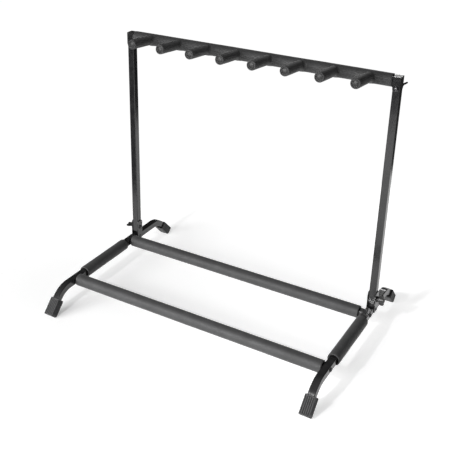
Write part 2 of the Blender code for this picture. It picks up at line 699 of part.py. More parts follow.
def main():
    paint = new_material("powder_coat", (0.022, 0.022, 0.023), 0.42, 0.0)
    foam = new_material("foam", (0.060, 0.060, 0.062), 0.95, 0.0)
    rubber = new_material("rubber", (0.040, 0.040, 0.042), 0.80, 0.0)
    plastic = new_material("black_plastic", (0.030, 0.030, 0.031), 0.35, 0.0)
    steel = new_material("dark_steel", (0.160, 0.160, 0.165), 0.35, 1.0)
    build_base(paint, foam, rubber, steel)
    build_upper_frame(paint, foam, plastic, steel)
    build_knobs(plastic)


clear_scene()
RACK = new_collection("guitar_rack")
TOOLS = new_collection("tools")
main()
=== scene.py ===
import itertools
import json
import math

import bmesh
import bpy
import numpy as np
from mathutils import Matrix, Vector

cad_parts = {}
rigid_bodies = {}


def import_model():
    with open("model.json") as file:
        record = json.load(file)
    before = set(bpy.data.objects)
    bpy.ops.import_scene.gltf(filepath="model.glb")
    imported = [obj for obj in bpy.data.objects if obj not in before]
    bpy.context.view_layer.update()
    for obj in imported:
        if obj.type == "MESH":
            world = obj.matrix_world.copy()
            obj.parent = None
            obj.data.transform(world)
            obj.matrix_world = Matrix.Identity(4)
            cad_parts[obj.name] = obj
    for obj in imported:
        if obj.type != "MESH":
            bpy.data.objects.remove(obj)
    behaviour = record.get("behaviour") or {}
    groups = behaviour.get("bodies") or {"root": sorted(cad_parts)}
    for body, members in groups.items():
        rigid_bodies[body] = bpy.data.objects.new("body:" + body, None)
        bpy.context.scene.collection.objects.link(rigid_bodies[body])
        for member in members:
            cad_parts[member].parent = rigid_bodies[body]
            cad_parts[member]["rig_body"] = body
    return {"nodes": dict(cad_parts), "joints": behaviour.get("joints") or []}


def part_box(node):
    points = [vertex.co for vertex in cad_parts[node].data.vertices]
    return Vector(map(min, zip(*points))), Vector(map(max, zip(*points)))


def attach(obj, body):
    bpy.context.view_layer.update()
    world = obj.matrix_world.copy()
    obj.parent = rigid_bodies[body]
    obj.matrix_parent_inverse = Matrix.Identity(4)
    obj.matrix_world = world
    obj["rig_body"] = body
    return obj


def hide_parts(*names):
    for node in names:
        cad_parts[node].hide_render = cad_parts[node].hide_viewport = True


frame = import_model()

NODES = frame["nodes"]
scene = bpy.context.scene
bpy.context.view_layer.update()

# Metres and radians, as in the CAD frame: +X to the rack's right, +Y to its back, +Z up.
TUBE = 0.020                    # side of the square tubes
TUBE_CORNER = 0.0020            # outer corner radius of the tubes
TUBE_INNER_CORNER = 0.0007
TUBE_WALL = 0.0015
LEG_BEND_RADIUS = 0.070         # of the tube's middle line
FOOT_TILT = math.radians(46.0)  # slope of a leg's ends
FOAM_BORE = 0.0137              # radius of a sleeve's hole, round a square tube
BAR_END_EXTRA = 0.0022          # how far bar foam reaches past its CAD node
PEG_BORE = 0.0068               # radius of the foam's hole on a peg rod
PLUG_ROOM = 0.0098              # radius of the wider hole round a peg's plug
FOOT_THICK = 0.0275             # foot cap's size across the tube, in the leg's plane
FOOT_LENGTH = 0.053             # and along the tube
FOOT_FLOOR = 0.006              # thickness of its closed end
SCREW_SHANK = 0.0029            # radius of the screws and rivets inside their holes
CRISP = 0.0004                  # blend width of the sharpest edges
QUARTER = math.pi / 2.0
ROUND_ANGLE = math.radians(50.0)  # edges of turned pieces that are sharper stay sharp


# ---------------------------------------------------------------- small helpers
def centre_of(node):
    low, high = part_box(node)
    return (low + high) / 2.0


def body_of(node):
    return NODES[node]["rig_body"]


def mesh_from(name, vertices, faces, normals=None):
    """A smooth-shaded mesh; normals, one per vertex, replace the ones Blender works out."""
    mesh = bpy.data.meshes.new(name)
    mesh.from_pydata([tuple(v) for v in vertices], [], [tuple(int(i) for i in f) for f in faces])
    mesh.update()
    mesh.polygons.foreach_set("use_smooth", np.ones(len(mesh.polygons), dtype=bool))
    if normals is not None:
        mesh.normals_split_custom_set_from_vertices([tuple(n) for n in normals])
    mesh.update()
    return mesh


def add_piece(name, mesh, material, body, slot, *nodes):
    """Puts one finished mesh on its body, in place of the CAD nodes that it stands for."""
    obj = bpy.data.objects.new(name, mesh)
    scene.collection.objects.link(obj)
    mesh.materials.clear()
    mesh.materials.append(material)
    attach(obj, body)
    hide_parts(*nodes)
    return obj


def weighted(obj):
    """Keeps flat faces flat to the eye between rounded edges."""
    modifier = obj.modifiers.new("weighted", "WEIGHTED_NORMAL")
    modifier.mode = "FACE_AREA"
    modifier.weight = 80
    modifier.keep_sharp = False


def cut_from(mesh, other):
    """The first mesh less the second."""
    work = bpy.data.objects.new("work", mesh)
    tool = bpy.data.objects.new("tool", other)
    for obj in (work, tool):
        scene.collection.objects.link(obj)
    modifier = work.modifiers.new("cut", "BOOLEAN")
    modifier.operation = "DIFFERENCE"
    modifier.solver = "EXACT"
    modifier.object = tool
    graph = bpy.context.evaluated_depsgraph_get()
    made = bpy.data.meshes.new_from_object(work.evaluated_get(graph), depsgraph=graph)
    for obj in (work, tool):
        bpy.data.objects.remove(obj)
    return made


def refined(node, width):
    """A CAD node's own shape with its split faces joined again and its hard edges rounded."""
    same_place = 2e-6
    same_plane = math.radians(0.6)
    hard_angle = math.radians(28.0)
    bm = bmesh.new()
    bm.from_mesh(NODES[node].data)
    bmesh.ops.remove_doubles(bm, verts=bm.verts, dist=same_place)
    bmesh.ops.dissolve_limit(bm, angle_limit=same_plane, verts=bm.verts, edges=bm.edges)
    hard = [e for e in bm.edges if e.is_manifold and e.calc_face_angle(0.0) > hard_angle]
    bmesh.ops.bevel(
        bm, geom=hard, offset=width, segments=3, profile=0.5,
        affect="EDGES", clamp_overlap=True, miter_outer="ARC", loop_slide=True,
    )
    bm.verts.index_update()
    vertices = [v.co.copy() for v in bm.verts]
    faces = [[v.index for v in f.verts] for f in bm.faces]
    bm.free()
    return mesh_from(node + "_fine", vertices, faces)


# ---------------------------------------------------------------- swept and turned shapes
def square_profile(side, radius):
    """Points and normals of a square with round corners, anticlockwise."""
    steps = 6
    points, normals = [], []
    inner = side / 2.0 - radius
    for quarter in range(4):
        middle = Matrix.Rotation(quarter * QUARTER, 2) @ Vector((inner, inner))
        for i in range(steps + 1):
            angle = (quarter + i / steps) * QUARTER
            normal = Vector((math.cos(angle), math.sin(angle)))
            points.append(middle + normal * radius)
            normals.append(normal)
    return points, normals


def swept_tube(name, stations):
    """Square tube along stations (origin, across, up), with open ends and its own inner wall."""
    outer, outer_normals = square_profile(TUBE, TUBE_CORNER)
    inner, inner_normals = square_profile(TUBE - 2.0 * TUBE_WALL, TUBE_INNER_CORNER)
    count = len(outer)
    vertices, normals, faces = [], [], []

    def ring(station, profile, profile_normals, sign):
        origin, across, up = station
        for p, n in zip(profile, profile_normals):
            vertices.append(origin + across * p.x + up * p.y)
            normals.append((across * n.x + up * n.y) * sign)

    for station in stations:
        ring(station, outer, outer_normals, 1.0)
    for station in reversed(stations):
        ring(station, inner, inner_normals, -1.0)
    # the outer wall's rings are followed by the inner wall's, which run backwards
    rings = 2 * len(stations)
    for r in range(rings - 1):
        if r == len(stations) - 1:
            continue
        for i in range(count):
            j = (i + 1) % count
            faces.append((r * count + i, r * count + j, (r + 1) * count + j, (r + 1) * count + i))
    # the end faces have their own vertices, so that they are shaded flat
    for station, sign in ((stations[0], -1.0), (stations[-1], 1.0)):
        origin, across, up = station
        ahead = across.cross(up) * sign
        start = len(vertices)
        for profile in (outer, inner):
            for p in profile:
                vertices.append(origin + across * p.x + up * p.y)
                normals.append(ahead)
        for i in range(count):
            j = (i + 1) % count
            quad = (start + i, start + j, start + count + j, start + count + i)
            faces.append(quad if sign > 0 else quad[::-1])
    return mesh_from(name, vertices, faces, normals)


def turned(name, profile, place, sides=48):
    """Turned solid, put in place by a matrix.

    Its profile is (radius, height), from one end on the axis to the other.
    """
    on_axis = 1e-7
    vertices, faces, rows = [], [], []
    for radius, height in profile:
        if radius < on_axis:
            rows.append([len(vertices)])
            vertices.append(Vector((0.0, 0.0, height)))
        else:
            rows.append(list(range(len(vertices), len(vertices) + sides)))
            for i in range(sides):
                a = 2.0 * math.pi * i / sides
                vertices.append(Vector((radius * math.cos(a), radius * math.sin(a), height)))
    for a, b in zip(rows, rows[1:]):
        for i in range(sides):
            j = (i + 1) % sides
            face = [a[i % len(a)], a[j % len(a)], b[j % len(b)], b[i % len(b)]]
            # a face at the axis has two corners in one place
            faces.append([v for k, v in enumerate(face) if v != face[k - 1]])
    mesh = mesh_from(name, vertices, faces)
    bm = bmesh.new()
    bm.from_mesh(mesh)
    bmesh.ops.recalc_face_normals(bm, faces=bm.faces)
    bm.to_mesh(mesh)
    bm.free()
    mesh.transform(place)
    return mesh


def facing(direction, origin):
    """Matrix that puts a turned solid's axis along a direction at a point."""
    turn = Vector(direction).to_track_quat("Z", "Y").to_matrix().to_4x4()
    return Matrix.Translation(origin) @ turn


# ---------------------------------------------------------------- implicit shapes
def smooth_min(a, b, k):
    """The lesser of two fields, blended over a width of k: a fillet where shapes join."""
    h = np.clip(0.5 + 0.5 * (b - a) / k, 0.0, 1.0)
    return b + (a - b) * h - k * h * (1.0 - h)


def smooth_max(a, b, k):
    """The greater of two fields, blended over a width of k: a rounded edge."""
    return -smooth_min(-a, -b, k)


def implicit(name, field, low, high, step):
    """Mesh of the surface where field(x, y, z) is zero.

    Each grid cell that the surface crosses gets one vertex, which is then moved onto it.
    """
    low, high = np.array(low, float), np.array(high, float)
    count = np.ceil((high - low) / step).astype(int) + 1
    axes = [low[i] + step * np.arange(count[i]) for i in range(3)]
    value = field(*np.meshgrid(*axes, indexing="ij"))
    inside = value < 0.0

    # cells whose eight corners aren't all on one side
    crossed = np.zeros(tuple(count - 1), bool)
    for dx, dy, dz in itertools.product((0, 1), repeat=3):
        corner = inside[dx:count[0] - 1 + dx, dy:count[1] - 1 + dy, dz:count[2] - 1 + dz]
        crossed |= corner != inside[:-1, :-1, :-1]
    index = -np.ones(crossed.shape, int)
    cells = np.argwhere(crossed)
    index[crossed] = np.arange(len(cells))

    # a cell's vertex starts at the mean of the points where its edges are crossed
    total = np.zeros((len(cells), 3))
    hits = np.zeros(len(cells))
    unit = np.eye(3, dtype=int)
    for axis in range(3):
        first, second = [a for a in range(3) if a != axis]
        for da, db in itertools.product((0, 1), repeat=2):
            start = cells.copy()
            start[:, first] += da
            start[:, second] += db
            end = start + unit[axis]
            a, b = value[tuple(start.T)], value[tuple(end.T)]
            change = (a < 0.0) != (b < 0.0)
            share = np.where(change, a / np.where(change, a - b, 1.0), 0.0)
            point = start + share[:, None] * unit[axis]
            total[change] += point[change]
            hits[change] += 1.0
    points = low + step * total / hits[:, None]

    def slope(p):
        small = step * 0.02
        g = np.empty_like(p)
        for a in range(3):
            d = small * unit[a]
            g[:, a] = (field(*(p + d).T) - field(*(p - d).T)) / (2.0 * small)
        return g

    # then it is moved along the field's slope, by part of a cell at most in each pass
    passes, longest, tiny = 4, step * 0.6, 1e-9
    for _ in range(passes):
        g = slope(points)
        move = -field(*points.T)[:, None] * g / np.maximum((g * g).sum(1), tiny)[:, None]
        points += np.clip(move, -longest, longest)
    g = slope(points)
    normals = g / np.maximum(np.linalg.norm(g, axis=1), tiny)[:, None]

    # each grid edge that is crossed gives one face between the four cells round it
    faces = []
    for axis in range(3):
        a, b = [i for i in range(3) if i != axis]
        before, after = [slice(None)] * 3, [slice(None)] * 3
        before[axis], after[axis] = slice(None, -1), slice(1, None)
        edges = np.argwhere(inside[tuple(before)] != inside[tuple(after)])
        keep = (edges[:, a] > 0) & (edges[:, a] < count[a] - 1)
        keep &= (edges[:, b] > 0) & (edges[:, b] < count[b] - 1)
        edges = edges[keep]
        corners = []
        for da, db in ((-1, -1), (0, -1), (0, 0), (-1, 0)):
            cell = edges.copy()
            cell[:, a] += da
            cell[:, b] += db
            corners.append(index[tuple(cell.T)])
        quads = np.stack(corners, 1)
        out = inside[tuple(edges.T)]
        if axis == 1:  # its two other axes are in left-handed order
            out = ~out
        quads[~out] = quads[~out][:, ::-1]
        faces.append(quads)
    return mesh_from(name, points, np.concatenate(faces), normals)


# ---------------------------------------------------------------- materials
class Graph:
    """Builds one node material on a Principled shader, in the object's own coordinates."""

    def __init__(self, name, **values):
        self.material = bpy.data.materials.new(name)
        self.material.use_nodes = True
        self.tree = self.material.node_tree
        self.tree.nodes.clear()
        self.shader = self.tree.nodes.new("ShaderNodeBsdfPrincipled")
        output = self.tree.nodes.new("ShaderNodeOutputMaterial")
        self.tree.links.new(self.shader.outputs["BSDF"], output.inputs["Surface"])
        self.place = self.tree.nodes.new("ShaderNodeTexCoord").outputs["Object"]
        for key, value in values.items():
            self.shader.inputs[key.replace("_", " ")].default_value = value

    def feed(self, socket, value):
        if isinstance(value, bpy.types.NodeSocket):
            self.tree.links.new(value, socket)
        else:
            socket.default_value = value

    def noise(self, scale, detail=2.0, roughness=0.5, distortion=0.0):
        node = self.tree.nodes.new("ShaderNodeTexNoise")
        self.tree.links.new(self.place, node.inputs["Vector"])
        node.inputs["Scale"].default_value = scale
        node.inputs["Detail"].default_value = detail
        node.inputs["Roughness"].default_value = roughness
        node.inputs["Distortion"].default_value = distortion
        return node.outputs["Fac"]

    def cells(self, scale):
        node = self.tree.nodes.new("ShaderNodeTexVoronoi")
        self.tree.links.new(self.place, node.inputs["Vector"])
        node.inputs["Scale"].default_value = scale
        return node.outputs["Distance"]

    def span(self, value, low, high, to_low, to_high):
        """A value's range moved smoothly to another, held at its ends."""
        node = self.tree.nodes.new("ShaderNodeMapRange")
        node.clamp = True
        node.interpolation_type = "SMOOTHSTEP"
        self.feed(node.inputs["Value"], value)
        keys = ("From Min", "From Max", "To Min", "To Max")
        for key, number in zip(keys, (low, high, to_low, to_high)):
            node.inputs[key].default_value = number
        return node.outputs["Result"]

    def share(self, value, low=0.3, high=0.7):
        """0 where the value is low, 1 where it is high."""
        return self.span(value, low, high, 0.0, 1.0)

    def sum(self, a, b, operation="ADD"):
        node = self.tree.nodes.new("ShaderNodeMath")
        node.operation = operation
        self.feed(node.inputs[0], a)
        self.feed(node.inputs[1], b)
        return node.outputs["Value"]

    def product(self, a, b):
        return self.sum(a, b, "MULTIPLY")

    def mix(self, share, a, b):
        node = self.tree.nodes.new("ShaderNodeMix")
        node.data_type = "RGBA"
        self.feed(node.inputs[0], share)
        for socket, value in ((node.inputs[6], a), (node.inputs[7], b)):
            is_link = isinstance(value, bpy.types.NodeSocket)
            self.feed(socket, value if is_link else (*value, 1.0))
        return node.outputs[2]

    def bump(self, height, distance, strength, after=None):
        node = self.tree.nodes.new("ShaderNodeBump")
        node.inputs["Strength"].default_value = strength
        node.inputs["Distance"].default_value = distance
        self.feed(node.inputs["Height"], height)
        if after is not None:
            self.tree.links.new(after, node.inputs["Normal"])
        return node.outputs["Normal"]

    def edges(self, low, high):
        """1 on sharp edges; with low above high, 1 in hollows."""
        node = self.tree.nodes.new("ShaderNodeNewGeometry")
        return self.share(node.outputs["Pointiness"], low, high)

    def height(self):
        node = self.tree.nodes.new("ShaderNodeSeparateXYZ")
        self.tree.links.new(self.place, node.inputs["Vector"])
        return node.outputs["Z"]

    def distance(self, point):
        node = self.tree.nodes.new("ShaderNodeVectorMath")
        node.operation = "DISTANCE"
        self.tree.links.new(self.place, node.inputs[0])
        node.inputs[1].default_value = point
        return node.outputs["Value"]

    def done(self, colour=None, roughness=None, normal=None):
        for name, value in (("Base Color", colour), ("Roughness", roughness), ("Normal", normal)):
            if value is not None:
                self.feed(self.shader.inputs[name], value)
        return self.material


def powder_coat():
    """Satin black powder coat: fine orange peel, slow changes of gloss, slightly rubbed edges."""
    dark, light = (0.0105, 0.0105, 0.0112), (0.0150, 0.0150, 0.0156)
    rubbed = (0.055, 0.054, 0.053)
    g = Graph("powder_coat", IOR=1.6)
    peel = g.noise(1400.0, 2.0, 0.55)
    slow = g.noise(38.0, 3.0, 0.55)
    rub = g.product(g.edges(0.53, 0.62), g.share(g.noise(160.0, 3.0, 0.6), 0.42, 0.66))
    colour = g.mix(g.share(slow), dark, light)
    colour = g.mix(g.product(rub, 0.35), colour, rubbed)
    rough = g.sum(g.span(slow, 0.25, 0.75, 0.14, 0.21), g.span(peel, 0.3, 0.7, -0.02, 0.03))
    ripple = g.product(g.noise(420.0, 2.0), 1.4)
    normal = g.bump(g.sum(peel, ripple), 0.00006, 0.55)
    return g.done(colour, rough, normal)


def foam():
    """Closed-cell foam with a matte skin: pores with painted shade in their pits, soft unevenness
    and a little dust.
    """
    dark, light = (0.0345, 0.0345, 0.0352), (0.0440, 0.0440, 0.0448)
    # the last colour here is painted shade for the pores' pits
    dusty, pore_shade = (0.0570, 0.0570, 0.0578), (0.0150, 0.0150, 0.0154)
    g = Graph("foam", IOR=1.45, Sheen_Weight=0.12, Sheen_Roughness=0.45)
    pores = g.cells(1150.0)
    grain = g.noise(620.0, 3.0, 0.62)
    cloud = g.noise(22.0, 3.0, 0.6)
    patch = g.noise(75.0, 4.0, 0.62, 0.4)
    colour = g.mix(g.share(cloud, 0.32, 0.68), dark, light)
    colour = g.mix(g.span(patch, 0.50, 0.74, 0.0, 0.45), colour, dusty)
    # painted shade: the pits of the pores are darkened towards their middles
    colour = g.mix(g.span(pores, 0.05, 0.32, 0.40, 0.0), colour, pore_shade)
    rough = g.sum(g.span(patch, 0.3, 0.7, 0.56, 0.70), g.span(grain, 0.3, 0.7, -0.03, 0.03))
    normal = g.bump(g.noise(60.0, 2.0, 0.5), 0.0006, 0.35)
    normal = g.bump(g.sum(g.share(pores, 0.0, 0.45), grain), 0.00022, 0.55, normal)
    return g.done(colour, rough, normal)


def rubber():
    """Moulded rubber: dull, finely grained, with painted shade in its grooves, dusty near the
    floor.
    """
    dark, light = (0.0380, 0.0380, 0.0390), (0.0520, 0.0520, 0.0530)
    # the last colour is painted shade for the grooves' hollows
    scuffed, dusty, groove_shade = (0.085, 0.084, 0.082), (0.110, 0.108, 0.104), (0.004, 0.004, 0.004)
    g = Graph("rubber", IOR=1.5)
    grain = g.noise(900.0, 3.0, 0.6)
    cloud = g.noise(70.0, 3.0, 0.6)
    colour = g.mix(g.share(cloud), dark, light)
    worn = g.product(g.edges(0.52, 0.60), g.span(g.noise(240.0, 3.0), 0.38, 0.62, 0.2, 1.0))
    colour = g.mix(g.product(worn, 0.5), colour, scuffed)
    low_down = g.span(g.height(), 0.0005, 0.0100, 1.0, 0.0)
    dust = g.product(low_down, g.span(cloud, 0.35, 0.65, 0.2, 1.0))
    colour = g.mix(g.product(dust, 0.4), colour, dusty)
    # painted shade: the hollows of the grooves are darkened almost to black
    colour = g.mix(g.product(g.edges(0.500, 0.478), 0.95), colour, groove_shade)
    rough = g.span(grain, 0.3, 0.7, 0.55, 0.72)
    return g.done(colour, rough, g.bump(grain, 0.00012, 0.6))


def black_plastic(name, dark, light, smooth, dull, ior):
    """Moulded plastic with a fine spark-eroded grain and a few flow marks."""
    worn = light * 3.0
    g = Graph(name, IOR=ior)
    grain = g.noise(1500.0, 2.0, 0.6)
    flow = g.noise(130.0, 3.0, 0.6, 0.8)
    colour = g.mix(g.share(flow), (dark,) * 3, (light,) * 3)
    colour = g.mix(g.product(g.edges(0.53, 0.64), 0.25), colour, (worn,) * 3)
    rough = g.sum(g.span(flow, 0.3, 0.7, smooth, dull), g.span(grain, 0.3, 0.7, -0.02, 0.03))
    return g.done(colour, rough, g.bump(grain, 0.00005, 0.5))


def dark_steel():
    """Black zinc on a turned screw: metallic, uneven in colour, brighter on worn edges."""
    dark, light, worn = (0.050, 0.050, 0.053), (0.090, 0.089, 0.091), (0.26, 0.255, 0.25)
    g = Graph("dark_steel", Metallic=1.0)
    cloud = g.noise(300.0, 3.0, 0.6)
    fine = g.noise(2400.0, 2.0, 0.6)
    colour = g.mix(g.share(cloud), dark, light)
    colour = g.mix(g.product(g.edges(0.54, 0.64), 0.5), colour, worn)
    rough = g.sum(g.span(cloud, 0.3, 0.7, 0.30, 0.42), g.span(fine, 0.3, 0.7, -0.02, 0.04))
    return g.done(colour, rough, g.bump(fine, 0.00003, 0.5))


POWDER = powder_coat()
FOAM = foam()
RUBBER = rubber()
PLASTIC = black_plastic(
    "black_plastic", dark=0.014, light=0.022, smooth=0.30, dull=0.42, ior=1.49)
PLUG = black_plastic(
    "plug_plastic", dark=0.014, light=0.020, smooth=0.42, dull=0.50, ior=1.42)
STEEL = dark_steel()


# ---------------------------------------------------------------- foam
def sleeve(name, node, axis, seed, longer=(0.0, 0.0)):
    """Foam sleeve on a square tube, with soft lips and a skin that isn't quite straight or round.

    longer says how far it reaches past its CAD node at either end.
    """
    sides, arc, inner_rings = 72, 8, 12
    lip, small = 0.0017, 0.0008       # radii of the outer lips, chamfers of the hole
    ring_step = 0.006
    waves, swell_height, square_height, shrink = 7, 0.00007, 0.00016, 0.0002
    low, high = (Vector(end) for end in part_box(node))
    low[axis] -= longer[0]
    high[axis] += longer[1]
    middle = (low + high) / 2.0
    length = high[axis] - low[axis]
    across = [i for i in range(3) if i != axis]
    radius = (high[across[0]] - low[across[0]]) / 2.0

    # the section as (radius, distance along): one lip, the skin, the other lip, the hole
    turns = [QUARTER * i / arc for i in range(arc + 1)]
    profile = [(radius - lip + lip * math.sin(a), lip - lip * math.cos(a)) for a in turns]
    steps = max(8, int((length - 2.0 * lip) / ring_step))
    for i in range(1, steps):
        profile.append((radius, lip + (length - 2.0 * lip) * i / steps))
    for a in turns:
        profile.append((radius - lip + lip * math.cos(a), length - lip + lip * math.sin(a)))
    profile += [(FOAM_BORE + small, length), (FOAM_BORE, length - small)]
    for i in range(1, inner_rings):
        profile.append((FOAM_BORE, length - small - (length - 2.0 * small) * i / inner_rings))
    profile += [(FOAM_BORE, small), (FOAM_BORE + small, 0.0)]

    rows = np.array(profile)
    angle = 2.0 * np.pi * np.arange(sides) / sides
    r = np.repeat(rows[:, :1], sides, 1)
    s = np.repeat(rows[:, 1:], sides, 1)
    a = np.repeat(angle[None, :], len(rows), 0)
    rng = np.random.default_rng(seed)
    swell = np.zeros_like(r)
    for _ in range(waves):
        lobes = rng.integers(0, 4)
        pitch = rng.uniform(8.0, 45.0)
        phase = rng.uniform(0.0, 2.0 * np.pi, 2)
        wave = np.cos(lobes * a + phase[0]) * np.sin(pitch * s + phase[1])
        swell += rng.uniform(0.2, 1.0) * wave
    skin = np.clip((r - FOAM_BORE) / (radius - FOAM_BORE), 0.0, 1.0)
    square = square_height * np.cos(4.0 * (a - math.pi / 4.0))
    r = r + skin * (swell_height * swell + square - shrink)

    points = np.zeros((len(rows), sides, 3))
    points[:, :, across[0]] = r * np.cos(a)
    points[:, :, across[1]] = r * np.sin(a)
    points[:, :, axis] = s - length / 2.0
    points += np.array(middle)
    faces = []
    for i in range(len(rows)):
        k = (i + 1) % len(rows)
        for j in range(sides):
            m = (j + 1) % sides
            face = (i * sides + j, i * sides + m, k * sides + m, k * sides + j)
            faces.append(face[::-1] if axis == 1 else face)
    mesh = mesh_from(name, points.reshape(-1, 3), faces)
    obj = add_piece(name, mesh, FOAM, body_of(node), "foam", node)


def peg_line():
    """Middle of the first peg plug's outer face and the direction that its peg points in."""
    low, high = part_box("peg_plug_1")
    bar = centre_of("top_bar_foam")
    middle = (low + high) / 2.0
    out = Vector((0.0, middle.y - bar.y, middle.z - bar.z)).normalized()
    # the box of a leaning disc is as deep as the disc's depth and width together make it
    depth = (high.y - low.y - (high.x - low.x) * out.z) / -out.y
    return middle + out * depth / 2.0, out


def top_foam():
    """One foam piece over the top bar and its eight pegs, which flow out of the bar."""
    trim, past_plug, plug_depth = 0.0001, 0.0006, 0.0052
    bar_lip, peg_lip, peg_root, hole_lip, bore_lip = 0.0030, 0.0040, 0.0010, 0.0012, 0.0006
    flow_below, flow_above, flow_height = 0.0100, 0.0015, 0.0150
    margin, cell = 0.004, 0.0018
    pegs = [f"peg_foam_{i}" for i in range(1, 9)]
    low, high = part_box("top_bar_foam")
    peg_low, peg_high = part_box(pegs[0])
    middle = (low + high) / 2.0
    half = (high.x - low.x) / 2.0 + BAR_END_EXTRA
    bar_radius = (high.z - low.z) / 2.0 - trim
    peg_radius = (peg_high.x - peg_low.x) / 2.0 - trim
    centres = [centre_of(p).x - middle.x for p in pegs]
    plug, out = peg_line()
    reach = (plug - Vector((plug.x, middle.y, middle.z))).length + past_plug
    room_start = reach - plug_depth

    def field(x, y, z):
        x = x - middle.x
        y = middle.y - y
        z = z - middle.z
        wave = 0.00010 * np.sin(31.0 * x + 1.3) * np.cos(17.0 * x + 40.0 * z)
        wave += 0.00008 * np.sin(90.0 * y + 23.0 * x)
        from_bar = np.sqrt(y * y + z * z)
        bar = smooth_max(from_bar - bar_radius, np.abs(x) - half, bar_lip)
        nearest = np.full_like(x, 1.0)
        for c in centres:
            nearest = np.minimum(nearest, np.abs(x - c))
        along = -out.y * y + out.z * z
        above = out.z * y + out.y * z
        from_peg = np.sqrt(nearest * nearest + above * above)
        peg = smooth_max(from_peg - peg_radius, along - reach, peg_lip)
        peg = smooth_max(peg, -along, peg_root)
        # the fillet fades out above the bar's middle, so that its upper outline stays straight
        rise = np.clip(z / flow_height, 0.0, 1.0)
        body = smooth_min(bar, peg, flow_below + (flow_above - flow_below) * rise) + wave
        body = smooth_max(body, FOAM_BORE - from_bar, hole_lip)
        bore = smooth_max(from_peg - PEG_BORE, -along, CRISP)
        room = smooth_max(from_peg - PLUG_ROOM, room_start - along, CRISP)
        body = smooth_max(body, -bore, bore_lip)
        return smooth_max(body, -room, hole_lip)

    start = (low.x - 2.0 * margin, peg_low.y - margin, low.z - margin)
    end = (high.x + 2.0 * margin, high.y + margin, peg_high.z + margin)
    mesh = implicit("top_foam", field, start, end, cell)
    obj = add_piece("top_foam", mesh, FOAM, "upper_frame", "foam", "top_bar_foam", *pegs)


sleeve("front_bar_sleeve", "front_bar_foam", axis=0, seed=3, longer=(BAR_END_EXTRA, 0.0026))
sleeve("rear_bar_sleeve", "rear_bar_foam", axis=0, seed=5, longer=(BAR_END_EXTRA, 0.0))
sleeve("left_leg_sleeve", "left_leg_foam", axis=1, seed=7)
sleeve("right_leg_sleeve", "right_leg_foam", axis=1, seed=11)
top_foam()


# ---------------------------------------------------------------- steel tubes
def leg(side):
    """Bent tube: level in the middle, a long bend down at each end."""
    bend_steps = 26
    sine, cosine = math.sin(FOOT_TILT), math.cos(FOOT_TILT)
    low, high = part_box(side + "_leg")
    half = TUBE / 2.0
    x = (low.x + high.x) / 2.0
    top = high.z - half
    end_y, end_z = high.y - half * sine, low.z + half * cosine
    run = (top - LEG_BEND_RADIUS * (1.0 - cosine) - end_z) / sine
    bend = end_y - run * cosine - LEG_BEND_RADIUS * sine

    # the middle line's back half as (y, z, slope), then the whole line
    points = [(0.0, top, 0.0), (bend * 0.5, top, 0.0)]
    for i in range(bend_steps + 1):
        angle = FOOT_TILT * i / bend_steps
        y = bend + LEG_BEND_RADIUS * math.sin(angle)
        points.append((y, top - LEG_BEND_RADIUS * (1.0 - math.cos(angle)), angle))
    points.append((end_y, end_z, FOOT_TILT))
    across = Vector((-1.0, 0.0, 0.0))
    stations = []
    for y, z, angle in [(-y, z, -a) for y, z, a in reversed(points[1:])] + points:
        up = Vector((0.0, math.sin(angle), math.cos(angle)))
        stations.append((Vector((x, y, z)), across, up))
    name = side + "_leg_tube"
    add_piece(name, swept_tube(name, stations), POWDER, "base", "powder_coat", side + "_leg")


def straight_tube(node, axis, body):
    """Square tube along one axis, in place of its CAD node."""
    longest_step = 0.1
    low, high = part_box(node)
    middle = (low + high) / 2.0
    length = high[axis] - low[axis]
    ahead = Vector([1.0 if i == axis else 0.0 for i in range(3)])
    across = Vector([1.0 if i == (axis + 1) % 3 else 0.0 for i in range(3)])
    up = ahead.cross(across)
    count = max(2, int(length / longest_step))
    stations = []
    for i in range(count + 1):
        stations.append((middle + ahead * (length * (i / count - 0.5)), across, up))
    name = node + "_tube"
    add_piece(name, swept_tube(name, stations), POWDER, body, "powder_coat", node)


for side in ("left", "right"):
    leg(side)
    straight_tube(side + "_upright", 2, "upper_frame")
straight_tube("front_bar", 0, "base")
straight_tube("rear_bar", 0, "base")
NODES["top_bar"].data.materials[0] = POWDER


# ---------------------------------------------------------------- brackets, caps and plugs
SHEET_EDGE = 0.00045     # rounding of a bracket's edges
PLUG_EDGE = 0.0005
for side in ("left", "right"):
    for part, body in (("_pivot_bracket", "base"), ("_corner_bracket", "upper_frame")):
        node = side + part
        mesh = refined(node, SHEET_EDGE)
        weighted(add_piece(node + "_fine", mesh, POWDER, body, "powder_coat", node))
    node = side + "_upright_plug"
    mesh = refined(node, PLUG_EDGE)
    weighted(add_piece(node + "_fine", mesh, PLASTIC, "upper_frame", "black_plastic", node))


